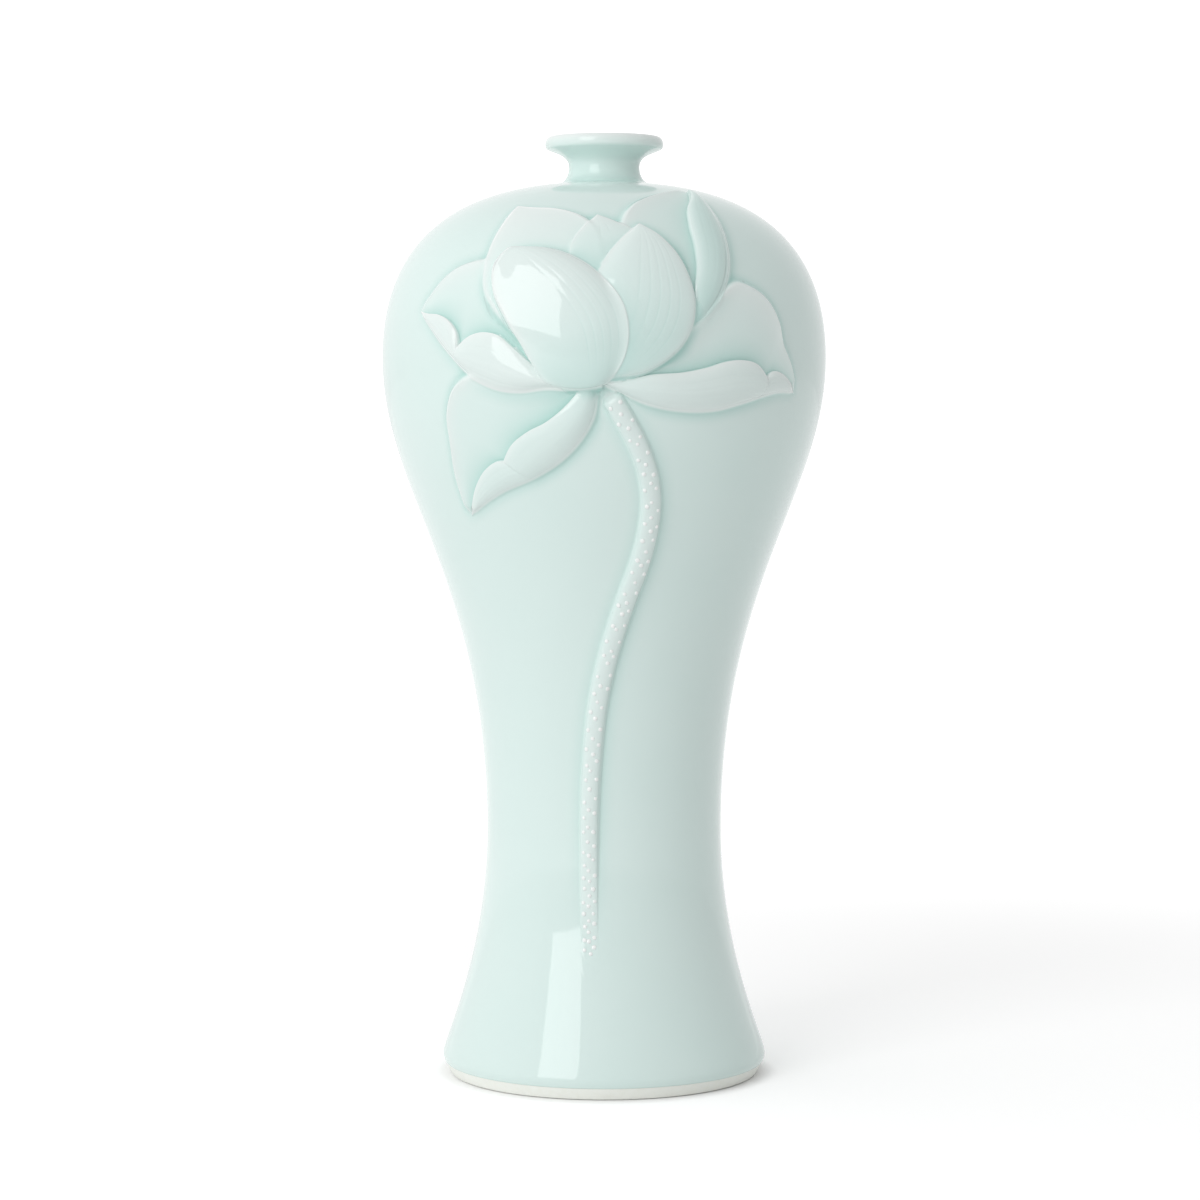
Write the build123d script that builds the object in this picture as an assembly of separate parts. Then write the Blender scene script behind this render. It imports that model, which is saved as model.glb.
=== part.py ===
from build123d import *
import os
from math import acos, cos, pi, sin

# A meiping vase in celadon porcelain, with a lotus in raised relief on its front.
# Millimetres, +Z up. The origin is the middle of the foot, on the surface that the vase
# stands on, and the lotus faces -Y.

# Foot: a bare ring under the floor, widest just above the ring
foot_ring_height = 5.0
foot_contact_radius = 62.4
foot_recess_radius = 52.0
flare_radius = 65.8
flare_rise = 6.5
flare_round = 4.5

# Body: radii at the waist and belly, and the rise from each level to the next
waist_radius = 47.7
waist_rise = 93.5
belly_radius = 89.8
belly_rise = 191.0
shoulder_rise = 70.0

# Pulls: how far each curve of the outline runs on before it bends
flare_pull = 5.0
skirt_pull = 51.0
waist_pull = 102.0
belly_drop = 55.0
belly_lift = 37.0
shoulder_reach = 52.0
shoulder_fall = 4.3

# Neck and dished mouth
neck_foot_radius = 19.5
neck_radius = 14.3
neck_rise = 7.0
neck_pull = 4.5
lip_radius = 23.9
lip_rise = 9.0
lip_roll = 2.0
rim_radius = 22.4
rim_rise = 3.0
rim_width = 1.4
dish_depth = 9.0
bore_radius = 10.0

# Clay: the wall and the luted laps between the thrown sections
wall = 5.0
floor_thickness = 7.0
floor_radius = 53.0
lap_depth = 6.0
spigot_wall = 3.0

# Relief: how high each form stands off the wall, and what the forms share
front_petal_height = 10.0
right_cup_height = 7.0
middle_petal_height = 3.0
back_left_height = 3.2
blade_height = 1.6
back_right_lip_height = 5.5
right_lip_height = 5.5
left_lip_height = 6.5
lower_lip_height = 5.0
tip_lobe_height = 3.2
relief_root = 3.0
tip_margin = 0.045
across_stations = (0.07, 0.26, 0.5, 0.74, 0.93)

# Stem and its prickles
stem_half_width = 4.2
stem_foot_half_width = 3.4
stem_height = 3.4
prickle_radius = 0.9
prickle_tip_radius = 0.3
prickle_height = 0.8
prickle_slip = 0.1
prickle_spacing = 6.4
prickle_start = 34.0
prickle_stop = 20.0
stem_fullness = 0.2

# Levels, from the foot up
flare_height = flare_rise
waist_height = flare_height + waist_rise
belly_height = waist_height + belly_rise
shoulder_height = belly_height + shoulder_rise
neck_height = shoulder_height + neck_rise
lip_height = neck_height + lip_rise
rim_height = lip_height + rim_rise
floor_height = foot_ring_height + floor_thickness
spigot_radius = bore_radius + spigot_wall
beyond = belly_radius + wall


def at(radius, height):
    """A point of the turned section, in the XZ plane."""
    return Vector(radius, 0, height)


def region(*corners):
    """A flat face of the turned section, between straight sides."""
    return Face(Wire.make_polygon([at(*corner) for corner in corners]))


def above(seam_height, lap_radius, lap):
    """All of the section over a seam, with a tongue that laps down inside the piece below."""
    top = rim_height + wall
    return region(
        (0, seam_height - lap),
        (lap_radius, seam_height - lap),
        (lap_radius, seam_height),
        (beyond, seam_height),
        (beyond, top),
        (0, top),
    )


def section(*curves):
    """The flat face that a loop of curves closes in."""
    return make_face([edge for curve in curves for edge in curve.edges()])


def turned(face):
    """A piece of the pot, thrown on the wheel."""
    return revolve(face, Axis.Z)


# Outer outline, foot to mouth
foot_curve = Bezier(
    at(foot_contact_radius, 0),
    at(flare_radius, flare_round),
    at(flare_radius, flare_height),
)
skirt_curve = Bezier(
    at(flare_radius, flare_height),
    at(flare_radius, flare_height + flare_pull),
    at(waist_radius, waist_height - skirt_pull),
    at(waist_radius, waist_height),
)
body_curve = Bezier(
    at(waist_radius, waist_height),
    at(waist_radius, waist_height + waist_pull),
    at(belly_radius, belly_height - belly_drop),
    at(belly_radius, belly_height),
)
shoulder_curve = Bezier(
    at(belly_radius, belly_height),
    at(belly_radius, belly_height + belly_lift),
    at(neck_foot_radius + shoulder_reach, shoulder_height - shoulder_fall),
    at(neck_foot_radius, shoulder_height),
)
neck_curve = Bezier(
    at(neck_foot_radius, shoulder_height),
    at(neck_radius, shoulder_height),
    at(neck_radius, neck_height - neck_pull / 2),
    at(neck_radius, neck_height),
)
lip_turn = at(lip_radius - lip_roll / 2, lip_height - lip_roll)
under_lip_curve = Bezier(
    at(neck_radius, neck_height),
    at(neck_radius, neck_height + neck_pull),
    at((neck_radius + lip_radius) / 2, lip_height - lip_roll),
    lip_turn,
)
lip_curve = ThreePointArc(lip_turn, at(lip_radius, lip_height), at(rim_radius, rim_height))
outline_curves = [
    foot_curve,
    skirt_curve,
    body_curve,
    shoulder_curve,
    neck_curve,
    under_lip_curve,
    lip_curve,
]

# Inner outline: the same curves, drawn in by the wall
inner_floor = at(floor_radius, floor_height)
inner_waist = at(waist_radius - wall, waist_height)
inner_belly = at(belly_radius - wall, belly_height)
inner_neck = at(spigot_radius, shoulder_height - wall)
inner_skirt_curve = Bezier(
    inner_floor,
    at(waist_radius - wall, waist_height - skirt_pull),
    inner_waist,
)
inner_body_curve = Bezier(
    inner_waist,
    at(waist_radius - wall, waist_height + waist_pull),
    at(belly_radius - wall, belly_height - belly_drop),
    inner_belly,
)
inner_shoulder_curve = Bezier(
    inner_belly,
    at(belly_radius - wall, belly_height + belly_lift),
    at(neck_foot_radius + shoulder_reach - wall, shoulder_height - shoulder_fall - wall),
    inner_neck,
)
dish_edge = at(rim_radius - rim_width, rim_height)
dish_floor = at(bore_radius, rim_height - dish_depth)
dish_curve = Bezier(
    dish_edge,
    at(rim_radius - rim_width - dish_depth / 2, rim_height - dish_depth / 2),
    at(bore_radius, rim_height - dish_depth / 2),
    dish_floor,
)

# Turned section, then its five pieces
outline_face = section(
    *outline_curves,
    Polyline(at(rim_radius, rim_height), at(0, rim_height), at(0, 0), at(foot_contact_radius, 0)),
)
hollow_face = section(
    inner_skirt_curve,
    inner_body_curve,
    inner_shoulder_curve,
    Polyline(inner_neck, at(0, shoulder_height - wall), at(0, floor_height), inner_floor),
)
mouth_face = section(
    dish_curve,
    Polyline(dish_floor, at(bore_radius, shoulder_height - wall), at(0, shoulder_height - wall),
             at(0, rim_height), dish_edge),
)
recess_face = region((0, 0), (foot_recess_radius, 0), (foot_recess_radius, foot_ring_height),
                     (0, foot_ring_height))
wall_face = outline_face - hollow_face - mouth_face - recess_face

over_foot = above(foot_ring_height, beyond, 0)
over_waist = above(waist_height, waist_radius - wall / 2, lap_depth)
over_belly = above(belly_height, belly_radius - wall / 2, lap_depth)
over_shoulder = above(shoulder_height, spigot_radius, wall)

pieces = {
    "foot_ring": turned(wall_face - over_foot),
    "lower_body": turned((wall_face & over_foot) - over_waist),
    "middle_body": turned((wall_face & over_waist) - over_belly),
    "shoulder": turned((wall_face & over_belly) - over_shoulder),
    "neck_and_mouth": turned(wall_face & over_shoulder),
}

# The lotus is drawn flat, as a paper pattern laid on the pot: each point is the distance round
# the pot from the middle of the front, and the distance up the wall from the belly.
core = turned(outline_face)
wall_line = Wire([skirt_curve, body_curve, shoulder_curve])
belly_run = skirt_curve.length + body_curve.length


def on_wall(place, lift):
    """The point of the pot under a place on the pattern, lifted square to the wall."""
    run = belly_run + place.Y
    spot = wall_line.position_at(run, PositionMode.LENGTH)
    slope = wall_line.tangent_at(run, PositionMode.LENGTH)
    turn = place.X / spot.X
    radius = spot.X + lift * slope.Z
    return Vector(radius * sin(turn), -radius * cos(turn), spot.Z - lift * slope.X)


def raised(edge_a, edge_b, ridge, height, fullness, count):
    """A swelling form between two edges of the pattern that share their root and their tip.

    ridge gives its cross section, from edge_a to edge_b, as shares of the height.
    A low fullness keeps the form high nearly to its ends.
    """
    first = acos(1 - 2 * tip_margin)
    sections = []
    for index in range(count):
        along = (1 - cos(first + (pi - 2 * first) * index / (count - 1))) / 2
        crest = height * (4 * along * (1 - along)) ** fullness
        start = edge_a(along)
        reach = edge_b(along) - start
        points = [on_wall(start, -relief_root)]
        for across, share in zip(across_stations, ridge):
            points.append(on_wall(start + reach * across, crest * share))
        points.append(on_wall(start + reach, -relief_root))
        origin = points[0]
        square = (points[-1] - origin).cross(points[len(points) // 2] - origin).normalized()
        flat = [point - square * (point - origin).dot(square) for point in points]
        sections.append(Wire([Edge.make_spline(flat), Edge.make_line(flat[-1], flat[0])]))
    return Solid.make_loft(sections)


def petal(root, tip, side_a, side_b, ridge, height, fullness=0.45):
    """A petal, or a lobe of its turned lip, from its root, its tip and the points of its sides."""
    edge_a = Spline(root, *side_a, tip)
    edge_b = Spline(root, *side_b, tip)
    return raised(edge_a.position_at, edge_b.position_at, ridge, height, fullness, count=9)


# Cross sections of the petals, from side to side
cupped = (0.45, 0.85, 1.0, 0.9, 0.5)
half_cupped = (0.1, 0.4, 0.85, 1.0, 0.5)
domed = (0.55, 0.9, 1.0, 0.9, 0.55)
dished = (1.0, 0.75, 0.65, 0.65, 0.5)
rolled = (0.35, 0.85, 1.0, 0.8, 0.4)
spread = (1.0, 0.75, 0.7, 0.8, 0.8)

# Petals as they lie before the ones in front cover them
front_cup = petal(
    (-8, -12.5), (-33, 40),
    [(-21, -9.5), (-33, 8), (-41.5, 28)],
    [(5, -5), (8.5, 7), (2, 27), (-16, 40)],
    cupped, front_petal_height,
)
right_cup = petal(
    (0, -9.5), (12.5, 51),
    [(-5.5, 5), (-4.5, 20), (0.5, 34.5)],
    [(14, -6.5), (30.5, 6), (33.5, 17), (27.5, 37)],
    half_cupped, right_cup_height,
)
middle_tip = petal(
    (-1.5, 9), (-2.5, 57),
    [(-11, 24), (-12.5, 39), (-8, 48)],
    [(13.5, 24.5), (15.5, 41), (10.5, 50)],
    domed, middle_petal_height,
)
back_left = petal(
    (-17, -6), (-34.5, 64.5),
    [(-31.5, 4), (-43, 17.5), (-46, 28), (-42, 49.5)],
    [(-1.5, 20.5), (-1.5, 37), (-6, 50), (-19, 59.5)],
    dished, back_left_height,
)

back_right_lip_side = [(43, 19), (50, 36.5), (48.5, 48.5), (45.5, 61)]
back_right = petal(
    (34.5, 11), (35.5, 82.5),
    [(13.5, 24.5), (7, 41), (8.5, 59), (23, 74.5)],
    back_right_lip_side,
    spread, blade_height,
) + petal(
    (34.5, 11), (35.5, 82.5),
    [(34.5, 20.5), (36, 39.5), (33.5, 60)],
    back_right_lip_side,
    rolled, back_right_lip_height,
)

right_lip_side = [(17.5, -19.5), (29.5, -21.5), (43, -20.5), (60, -17)]
right_open = petal(
    (-5, -8), (85, -14.5),
    [(21.5, 3), (36.5, 11.5), (53, 26.5), (64, 23), (76.5, 4)],
    right_lip_side,
    spread, blade_height,
) + petal(
    (-5, -8), (69, -14.5),
    [(14, -7), (29.5, -6.5), (47.5, -2.5), (60, -3)],
    right_lip_side,
    rolled, right_lip_height,
) + petal(
    (57, -14.5), (85, -14.5),
    [(66, -7), (74, -6)],
    [(66, -15.5), (75, -14)],
    rolled, tip_lobe_height,
)

left_lip_side = [(-21, -13), (-35, -14), (-48, -10.5), (-60, -2.5)]
left_open = petal(
    (-5.5, -12.5), (-80.5, 17.5),
    [(-24.5, 20.5), (-41.5, 35), (-56, 33.5), (-67.5, 28.5)],
    left_lip_side,
    spread, blade_height,
) + petal(
    (-5.5, -12.5), (-62, 0),
    [(-21, -6), (-33, 0.5), (-43.5, 4.5), (-54, 6)],
    left_lip_side[:-1],
    rolled, left_lip_height,
) + petal(
    (-53, -4.5), (-80.5, 17.5),
    [(-61, 6.5), (-68, 13)],
    [(-61, -1.5), (-70.5, 7.5)],
    rolled, tip_lobe_height,
)

lower_lip_side = [(-3.5, -22), (-8.5, -33.5), (-17, -43), (-29, -50)]
lower_open = petal(
    (-4, -6), (-56, -63.5),
    [(-25, -10), (-45.5, -7), (-58.5, -11), (-64, -23.5), (-62.5, -39.5)],
    lower_lip_side,
    spread, blade_height,
) + petal(
    (-4, -6), (-43, -53),
    [(-9.5, -14), (-21.5, -25.5), (-35.5, -35.5), (-40, -43.5)],
    lower_lip_side,
    rolled, lower_lip_height,
) + petal(
    (-33, -50), (-56, -63.5),
    [(-41, -43.5), (-49, -46)],
    [(-41.5, -55.5), (-49, -59.5)],
    rolled, tip_lobe_height,
)

# Stem, from the flower down to where it fades into the wall
stem_line = Spline(
    (-9, -5),
    (0.5, -15),
    (12, -33.5),
    (18, -58),
    (13.5, -84.5),
    (5, -110),
    (-1.5, -136),
    (-5, -168),
    (-6, -208),
    (-5.5, -240),
)


def beside_stem(along, share):
    """A place beside the line of the stem, as a share of its half width."""
    tangent = stem_line.tangent_at(along)
    half_width = stem_half_width + (stem_foot_half_width - stem_half_width) * along
    return stem_line.position_at(along) + Vector(tangent.Y, -tangent.X) * half_width * share


stem = raised(
    lambda along: beside_stem(along, -1),
    lambda along: beside_stem(along, 1),
    domed, stem_height, stem_fullness, count=13,
)


point_foot = RegularPolygon(prickle_radius, side_count=6)
point_top = Pos(0, 0, prickle_height) * RegularPolygon(prickle_tip_radius, side_count=6)
point = loft([point_foot, point_top], ruled=True)


def on_stem(along, station):
    """A point on the round of the stem, at one of the stations across it."""
    crest = stem_height * (4 * along * (1 - along)) ** stem_fullness
    place = beside_stem(along, 2 * across_stations[station] - 1)
    return on_wall(place, crest * domed[station])


def prickle(along, station):
    """A small raised point, laid square on the round of the stem with a film of slip."""
    seat = on_stem(along, station)
    across = on_stem(along, station + 1) - on_stem(along, station - 1)
    onward = on_stem(along + tip_margin, station) - seat
    outward = across.cross(onward).normalized()
    return Plane(seat + outward * prickle_slip, x_dir=onward, z_dir=outward) * point


prickle_run = stem_line.length - prickle_start - prickle_stop
prickles = []
for index in range(int(prickle_run / prickle_spacing)):
    for row, station in enumerate((1, 2, 3)):
        run = prickle_start + (index + row / 3) * prickle_spacing
        prickles.append(prickle(run / stem_line.length, station))

# Each form is cut to seat on the wall and against the forms in front of it
pieces["front_petal"] = front_cup - core
pieces["right_cup_petal"] = right_cup - core - front_cup
pieces["middle_petal"] = middle_tip - core - front_cup - right_cup
pieces["back_left_petal"] = back_left - core - front_cup - right_cup - middle_tip
pieces["back_right_petal"] = back_right - core - right_cup - middle_tip
pieces["right_petal"] = right_open - core - front_cup - right_cup - back_right
pieces["left_petal"] = left_open - core - front_cup - back_left
pieces["lower_petal"] = lower_open - core - front_cup - left_open - right_open
pieces["flower_stem"] = stem - core - front_cup - right_cup - right_open - lower_open
pieces["stem_prickles"] = Compound(prickles)

os.makedirs("parts", exist_ok=True)
for node, shape in pieces.items():
    export_step(shape, f"parts/{node}.step")
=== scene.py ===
from math import cos, exp, pi, radians, sin, sqrt
from random import Random

import bmesh
import bpy
from bpy.props import FloatProperty, FloatVectorProperty, PointerProperty
from bpy.types import Node, NodeSocket, Operator, Panel, PropertyGroup
from mathutils import Matrix, Vector
from mathutils.bvhtree import BVHTree
from mathutils.geometry import interpolate_bezier


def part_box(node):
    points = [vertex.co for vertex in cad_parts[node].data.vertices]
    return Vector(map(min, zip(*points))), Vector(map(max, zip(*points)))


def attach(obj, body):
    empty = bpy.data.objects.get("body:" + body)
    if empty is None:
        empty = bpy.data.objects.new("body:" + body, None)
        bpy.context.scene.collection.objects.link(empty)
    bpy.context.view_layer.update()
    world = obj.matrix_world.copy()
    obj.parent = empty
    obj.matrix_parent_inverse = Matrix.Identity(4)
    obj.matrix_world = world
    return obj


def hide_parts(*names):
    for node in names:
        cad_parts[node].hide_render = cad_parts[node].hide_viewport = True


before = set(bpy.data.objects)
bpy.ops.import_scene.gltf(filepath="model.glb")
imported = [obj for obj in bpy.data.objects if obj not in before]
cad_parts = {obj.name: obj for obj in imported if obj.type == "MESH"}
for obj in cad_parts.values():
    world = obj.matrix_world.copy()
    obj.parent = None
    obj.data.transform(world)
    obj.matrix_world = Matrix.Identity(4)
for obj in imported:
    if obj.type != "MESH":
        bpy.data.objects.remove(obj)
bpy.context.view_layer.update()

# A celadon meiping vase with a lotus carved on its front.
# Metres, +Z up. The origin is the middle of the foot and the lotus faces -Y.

bl_info = {
    "name": "Celadon lotus vase",
    "version": (1, 0, 0),
    "blender": (4, 5, 0),
    "location": "3D View > Sidebar > Vase",
    "description": "Models a celadon meiping vase with a lotus in raised relief",
    "category": "Object",
}

MM = 0.001
FOOT_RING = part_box("foot_ring")
LOWER_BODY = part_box("lower_body")
MIDDLE_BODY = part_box("middle_body")
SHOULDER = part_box("shoulder")
NECK_AND_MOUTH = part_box("neck_and_mouth")


# Settings


def linear(hex_colour):
    """An sRGB hex colour as the linear numbers that a shader takes."""
    channels = [int(hex_colour[i:i + 2], 16) / 255 for i in (1, 3, 5)]
    return [c / 12.92 if c <= 0.04045 else ((c + 0.055) / 1.055) ** 2.4 for c in channels]


def length(name, metres, description):
    """A size of the vase that a user would change."""
    return FloatProperty(name=name, description=description, default=metres, min=0.0, precision=5,
                         unit="LENGTH")


def colour(name, hex_colour, description):
    """A colour of the vase that a user would change."""
    return FloatVectorProperty(name=name, description=description, default=linear(hex_colour), size=3,
                               min=0.0, max=1.0, subtype="COLOR")


def strength(name, share, description):
    """A strength of light, where 1 is white."""
    return FloatProperty(name=name, description=description, default=share, min=0.0, soft_max=2.0,
                         subtype="FACTOR")


class PotSizes(PropertyGroup):
    """The turned outline of the pot"""

    foot_contact_radius: length("Foot contact radius", 62.4 * MM, "Where the foot meets the table")
    foot_recess_radius: length("Foot recess radius", 52.0 * MM, "Inside of the foot ring")
    ring_height: length("Ring height", FOOT_RING[1].z, "Height of the bare foot ring")
    flare_radius: length("Flare radius", LOWER_BODY[1].x, "Widest point of the foot")
    flare_height: length("Flare height", 8.0 * MM, "Level of the widest point of the foot")
    flare_round: length("Flare round", 5.2 * MM, "How far up the edge of the foot rounds")
    waist_radius: length("Waist radius", 47.7 * MM, "Outside of the narrow waist")
    waist_height: length("Waist height", LOWER_BODY[1].z, "Level of the waist")
    belly_radius: length("Belly radius", MIDDLE_BODY[1].x, "Outside of the belly")
    belly_height: length("Belly height", MIDDLE_BODY[1].z, "Level of the belly")
    shoulder_height: length("Shoulder height", SHOULDER[1].z, "Level where the neck starts")
    flare_pull: length("Flare pull", 5.0 * MM, "How far the foot runs straight up")
    skirt_pull: length("Skirt pull", 51.0 * MM, "How far the waist runs straight down")
    waist_pull: length("Waist pull", 102.0 * MM, "How far the waist runs straight up")
    belly_drop: length("Belly drop", 55.0 * MM, "How far the belly runs straight down")
    belly_lift: length("Belly lift", 37.0 * MM, "How far the belly runs straight up")
    shoulder_reach: length("Shoulder reach", 52.0 * MM, "How far the shoulder runs out from the neck")
    shoulder_fall: length("Shoulder fall", 4.3 * MM, "How far the shoulder falls over its reach")
    neck_foot_radius: length("Neck foot radius", 19.5 * MM, "Where the neck leaves the shoulder")
    neck_radius: length("Neck radius", 14.3 * MM, "Outside of the neck")
    neck_rise: length("Neck rise", 7.0 * MM, "From the shoulder to the narrowest neck")
    neck_pull: length("Neck pull", 4.5 * MM, "How far the neck runs straight up")
    lip_radius: length("Lip radius", NECK_AND_MOUTH[1].x, "Widest point of the mouth")
    lip_depth: length("Lip depth", 5.0 * MM, "Height of the rounded edge of the mouth")
    rim_height: length("Rim height", NECK_AND_MOUTH[1].z, "Top of the mouth")
    rim_radius: length("Rim radius", 22.4 * MM, "Outer edge of the rim")
    rim_width: length("Rim width", 1.4 * MM, "Width of the rounded rim")
    dish_depth: length("Dish depth", 9.0 * MM, "How far the mouth dishes in")
    bore_radius: length("Bore radius", 10.0 * MM, "Inside of the neck")
    spigot_radius: length("Spigot radius", 13.0 * MM, "Outside of the neck's end in the shoulder")
    wall: length("Wall", 5.0 * MM, "Thickness of the clay")
    floor_height: length("Floor height", 12.0 * MM, "Top of the floor inside")
    floor_radius: length("Floor radius", 53.0 * MM, "Flat floor inside")
    lap_depth: length("Lap depth", 6.0 * MM, "Lap of the luted joints between thrown sections")
    glaze_edge: length("Glaze edge", 0.35 * MM, "How far the glaze's rolled edge stands over the bare foot")


class LotusSizes(PropertyGroup):
    """How far the petals stand off the wall, and the sizes of the stem"""

    front_petal: length("Front petal", 9.2 * MM, "Crown of the front petal")
    right_cup_petal: length("Right cup petal", 7.0 * MM, "Crown of the cupped petal at the right")
    middle_petal: length("Middle petal", 3.4 * MM, "Crown of the petal between the cups")
    back_left_petal: length("Back left petal", 2.2 * MM, "Dished middle of the petal behind at the left")
    back_right_petal: length("Back right petal", 3.8 * MM, "Turned lip of the petal behind at the right")
    right_petal: length("Right petal", 4.4 * MM, "Turned lip of the open petal at the right")
    left_petal: length("Left petal", 5.4 * MM, "Turned lip of the open petal at the left")
    lower_petal: length("Lower petal", 4.4 * MM, "Turned lip of the open petal below")
    blade_bed: length("Blade bed", 0.6 * MM, "Hollow of an open petal")
    vein_depth: length("Vein depth", 0.055 * MM, "Depth of the cut veins")
    stem_half_width: length("Stem half width", 3.8 * MM, "Half the stem's width under the flower")
    stem_foot_half_width: length("Stem foot half width", 3.3 * MM, "Half the stem's width at its lower end")
    stem_height: length("Stem height", 2.7 * MM, "Crown of the stem")
    prickle_radius: length("Prickle radius", 0.85 * MM, "Radius of a prickle")
    prickle_spacing: length("Prickle spacing", 7.2 * MM, "Distance along the stem between prickles")


class VaseColours(PropertyGroup):
    """Colours of the glaze, the bare foot and the stage"""

    glaze: colour("Glaze", "#DEF0EC", "Glaze at its usual thickness")
    thin_glaze: colour("Thin glaze", "#ECF3F1", "Glaze that has run thin over an edge")
    # Also paints a glint on the stem's prickles, whiter than thin glaze.
    point_glaze_and_glint: colour("Point glaze", "#FCFEFD", "Glaze that has run off a sharp point")
    # Also paints shade beside the carving and in the crease at the neck's foot.
    pooled_glaze_and_shade: colour("Pooled glaze", "#B8DED7", "Glaze that has pooled in a hollow")
    bare_clay: colour("Bare clay", "#FAFCF6", "Bare porcelain of the foot ring")
    bare_speck: colour("Bare speck", "#F7F9F2", "Fine grit in the bare porcelain")
    floor: colour("Floor", "#F6F6F6", "Floor that the vase stands on")


class StudioSettings(PropertyGroup):
    """Camera and lights"""

    camera_distance: length("Camera distance", 1340.7 * MM, "From the camera to the vase's axis")
    camera_height: length("Camera height", 263.8 * MM, "Camera above the floor")
    camera_aside: length("Camera aside", 1.7 * MM, "Camera to the left of the vase's axis")
    camera_pitch: FloatProperty(name="Camera pitch", description="How far the camera looks down",
                                default=radians(3.03), subtype="ANGLE")
    lens: FloatProperty(name="Lens", description="Focal length on a 36 mm frame, in millimetres",
                        default=98.95, min=1.0)
    key_power: FloatProperty(name="Key power", description="Power of the soft box, in watts", default=14.8,
                             min=0.0, subtype="POWER")
    room_light: strength("Room light", 0.39, "Soft light from all round")
    left_light: strength("Left light", 0.46, "More soft light from the left")
    top_light: strength("Top light", 0.25, "More soft light from above")
    sweep_light: strength("Sweep light", 0.6, "How bright the white sweep mirrors in the glaze")
    floor_glow: strength("Floor glow", 0.31, "Lift of the floor towards white, as seen")


# Turned outline


def at(radius, height):
    """A point of the turned section, in the XZ plane."""
    return Vector((radius, 0.0, height))


def rounded(start, corner, end):
    """A Bezier span that rounds a corner."""
    return [start, start.lerp(corner, 2 / 3), end.lerp(corner, 2 / 3), end]


def sampled(span, count):
    """Points along a Bezier span."""
    return [Vector(point) for point in interpolate_bezier(*span, count)]


def body_spans(pot, inset, neck_radius):
    """The body and the shoulder as Bezier spans, drawn in from the outside by an inset."""
    waist = at(pot.waist_radius - inset, pot.waist_height)
    belly = at(pot.belly_radius - inset, pot.belly_height)
    shoulder = at(pot.neck_foot_radius + pot.shoulder_reach - inset,
                  pot.shoulder_height - pot.shoulder_fall - inset)
    neck = at(neck_radius, pot.shoulder_height - inset)
    return {
        "body": [waist, waist + at(0, pot.waist_pull), belly - at(0, pot.belly_drop), belly],
        "shoulder": [belly, belly + at(0, pot.belly_lift), shoulder, neck],
    }


def outer_spans(pot):
    """The outside of the pot, foot to rim, as Bezier spans."""
    spans = body_spans(pot, 0.0, pot.neck_foot_radius)
    flare = at(pot.flare_radius, pot.flare_height)
    waist = spans["body"][0]
    neck_foot = spans["shoulder"][-1]
    neck_height = pot.shoulder_height + pot.neck_rise
    neck = at(pot.neck_radius, neck_height)
    lip_foot_height = pot.rim_height - pot.lip_depth
    lip_foot = at(pot.lip_radius - MM, lip_foot_height)
    rim = at(pot.rim_radius, pot.rim_height)
    return spans | {
        "foot": rounded(at(pot.foot_contact_radius, 0), at(pot.flare_radius, pot.flare_round), flare),
        "skirt": [flare, flare + at(0, pot.flare_pull), waist - at(0, pot.skirt_pull), waist],
        "neck": [neck_foot, at(pot.neck_radius + 2.4 * MM, pot.shoulder_height + 0.4 * MM),
                 at(pot.neck_radius, neck_height - pot.neck_pull), neck],
        "under_lip": [neck, at(pot.neck_radius, neck_height + pot.neck_pull),
                      at(pot.lip_radius - 4.5 * MM, lip_foot_height - 1.6 * MM), lip_foot],
        "lip": [lip_foot, at(pot.lip_radius + 0.3 * MM, lip_foot_height + 0.5 * MM),
                at(pot.lip_radius + 0.5 * MM, pot.rim_height - 1.2 * MM), rim],
    }


def inner_spans(pot):
    """The inside of the pot, floor to mouth, drawn in by the wall."""
    spans = body_spans(pot, pot.wall, pot.spigot_radius)
    waist = spans["body"][0]
    dish_edge = at(pot.rim_radius - pot.rim_width, pot.rim_height)
    dish_floor = at(pot.bore_radius, pot.rim_height - pot.dish_depth)
    half_dish = pot.dish_depth / 2
    return spans | {
        "skirt": rounded(at(pot.floor_radius, pot.floor_height), waist - at(0, pot.skirt_pull), waist),
        "rim": rounded(at(pot.rim_radius, pot.rim_height),
                       at(pot.rim_radius - pot.rim_width / 2, pot.rim_height + 0.25 * MM), dish_edge),
        "dish": [dish_edge, at(dish_edge.x - half_dish, pot.rim_height - half_dish),
                 at(pot.bore_radius, pot.rim_height - half_dish), dish_floor],
    }


def cut_at(points, height):
    """The points of a rising line below a height and above it, with a point at that height in both."""
    below = [point for point in points if point.z < height]
    above = points[len(below):]
    cut = below[-1].lerp(above[0], (height - below[-1].z) / (above[0].z - below[-1].z))
    return below + [cut], [cut] + above


def guarded(points):
    """The same line with a very short step at each end, which keeps the shading true up to a seam."""
    step = 0.05 * MM
    first = points[0] + (points[1] - points[0]).normalized() * step
    last = points[-1] + (points[-2] - points[-1]).normalized() * step
    return [points[0], first, *points[1:-1], last, points[-1]]


def closed(bm):
    """Merges the doubled corners of a closed form and turns its faces outwards."""
    bmesh.ops.remove_doubles(bm, verts=bm.verts, dist=0.001 * MM)
    bmesh.ops.recalc_face_normals(bm, faces=bm.faces)
    return bm


def thrown(section):
    """A piece of the pot, spun on the wheel from its closed section."""
    wheel_steps = 192
    sharp_angle = radians(35)
    bm = bmesh.new()
    corners = [bm.verts.new(point) for point in section]
    sides = [bm.edges.new(pair) for pair in zip(corners, corners[1:] + corners[:1])]
    bmesh.ops.spin(bm, geom=corners + sides, axis=(0, 0, 1), cent=(0, 0, 0), angle=2 * pi,
                   steps=wheel_steps, use_merge=True)
    closed(bm)
    for edge in bm.edges:
        edge.smooth = edge.calc_face_angle(0.0) < sharp_angle
    return bm


# Pattern of the lotus laid on the wall


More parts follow.
